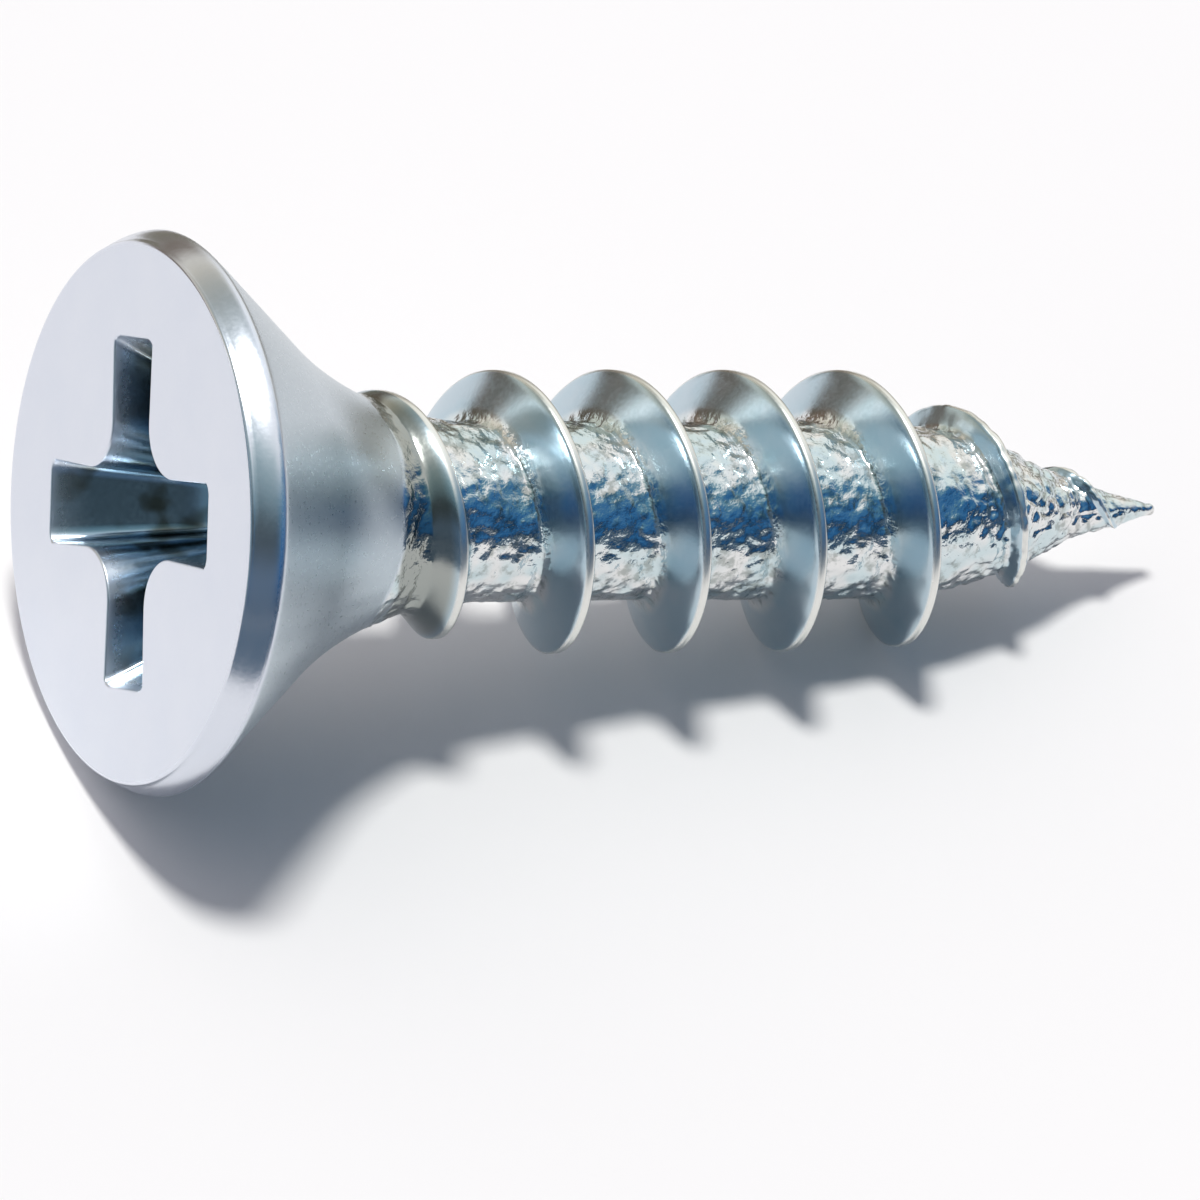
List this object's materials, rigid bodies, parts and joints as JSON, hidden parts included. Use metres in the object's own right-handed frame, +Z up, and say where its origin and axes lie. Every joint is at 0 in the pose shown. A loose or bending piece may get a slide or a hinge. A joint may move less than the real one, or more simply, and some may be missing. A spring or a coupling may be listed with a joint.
{
  "type": "wood screw",
  "caption": "Short cross-recess wood screw with a flat countersunk head, a coarse thread right up to it and a gimlet point.",
  "frame": {"origin": "middle of the footprint, on the surface that the screw lies on", "axes": "+X from the head towards the point along the surface, +Z up. The screw lies on the rear edge of its rim and the last large crest of its thread, so its own axis dips 9.72 degrees from +X towards -Z"},
  "size_m": [0.0164, 0.0076, 0.0075],
  "materials": {
    "zinc_plated_steel": "bright zinc plate with a cool, faintly blue cast: satin on the head and under it, mirror-bright and finely wrinkled on the rolled thread"
  },
  "bodies": {
    "root": {"wood_screw": "zinc_plated_steel"}
  },
  "joints": []
}
